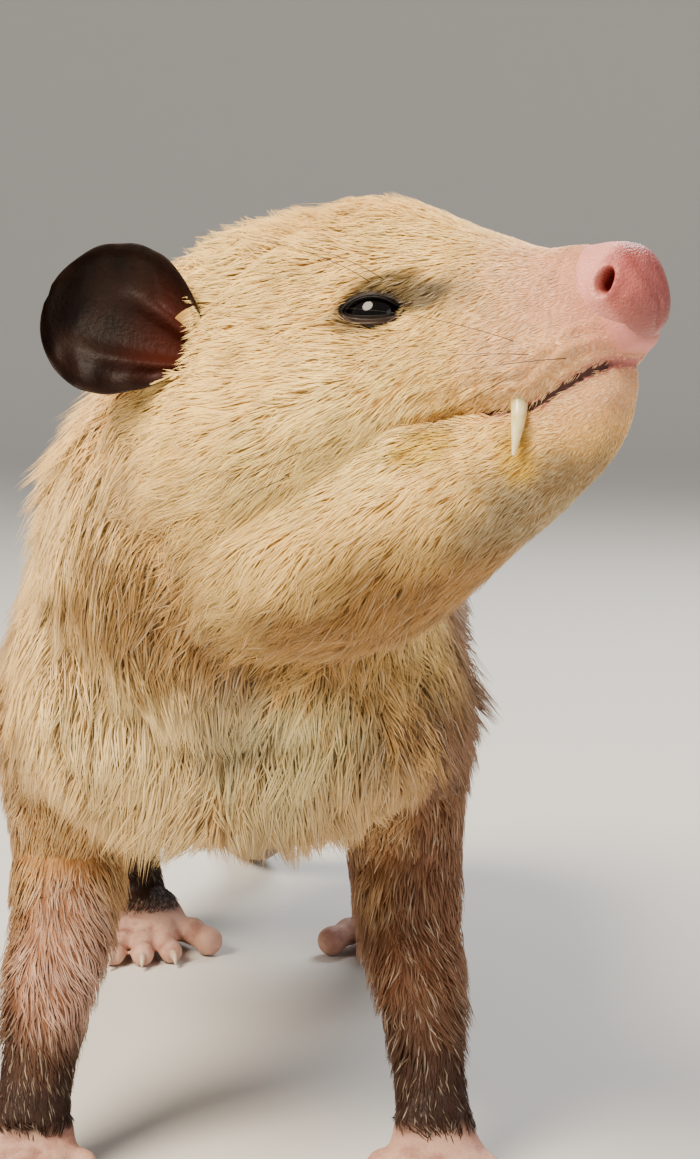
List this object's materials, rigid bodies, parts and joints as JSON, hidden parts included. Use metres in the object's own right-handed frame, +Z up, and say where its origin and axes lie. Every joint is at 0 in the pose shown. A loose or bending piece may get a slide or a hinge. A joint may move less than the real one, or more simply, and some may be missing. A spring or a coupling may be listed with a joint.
{
  "type": "Virginia opossum figure",
  "caption": "Still life-size standing opossum with its head lifted and turned to the left, thick body coat, bare ears, feet and tail laid on the floor",
  "frame": {"origin": "On the floor, at the middle of the bounding box of the whole animal.", "axes": "+Z up, the trunk's front faces -Y, the animal's left side is +X; the longest extent, from nose to tail, runs along Y."},
  "size_m": [0.1852, 0.5546, 0.2303],
  "materials": {
    "face_fur": "short cream fur",
    "chest_fur": "long cream and tan fur",
    "body_fur": "long grey-brown fur with pale tips",
    "leg_fur": "dark brown fur",
    "foot_skin": "pink-tan bare skin",
    "tail_skin": "fine scaly pale skin",
    "ear_skin": "thin dark leathery skin",
    "nose_skin": "moist pink skin",
    "eye": "wet and glossy",
    "tooth": "yellowed enamel",
    "claw": "pale horn"
  },
  "bodies": {
    "root": {"head": "face_fur", "lower_jaw": "face_fur", "nose": "nose_skin", "ear_right": "ear_skin", "ear_left": "ear_skin", "eye_right": "eye", "eye_left": "eye", "upper_canine_right": "tooth", "upper_canine_left": "tooth", "neck": "chest_fur", "chest": "chest_fur", "loin": "body_fur", "rump": "body_fur", "upper_arm_right": "leg_fur", "forearm_right": "leg_fur", "forefoot_right": "foot_skin", "thigh_right": "leg_fur", "shin_right": "leg_fur", "hind_foot_right": "foot_skin", "upper_arm_left": "leg_fur", "forearm_left": "leg_fur", "forefoot_left": "foot_skin", "thigh_left": "leg_fur", "shin_left": "leg_fur", "hind_foot_left": "foot_skin", "tail_base": "tail_skin", "tail_middle": "tail_skin", "tail_tip": "tail_skin", "fore_claw_right_1": "claw", "fore_claw_right_2": "claw", "fore_claw_right_3": "claw", "fore_claw_right_4": "claw", "fore_claw_right_5": "claw", "hind_claw_right_1": "claw", "hind_claw_right_2": "claw", "hind_claw_right_3": "claw", "hind_claw_right_4": "claw", "fore_claw_left_1": "claw", "fore_claw_left_2": "claw", "fore_claw_left_3": "claw", "fore_claw_left_4": "claw", "fore_claw_left_5": "claw", "hind_claw_left_1": "claw", "hind_claw_left_2": "claw", "hind_claw_left_3": "claw", "hind_claw_left_4": "claw"}
  },
  "joints": []
}
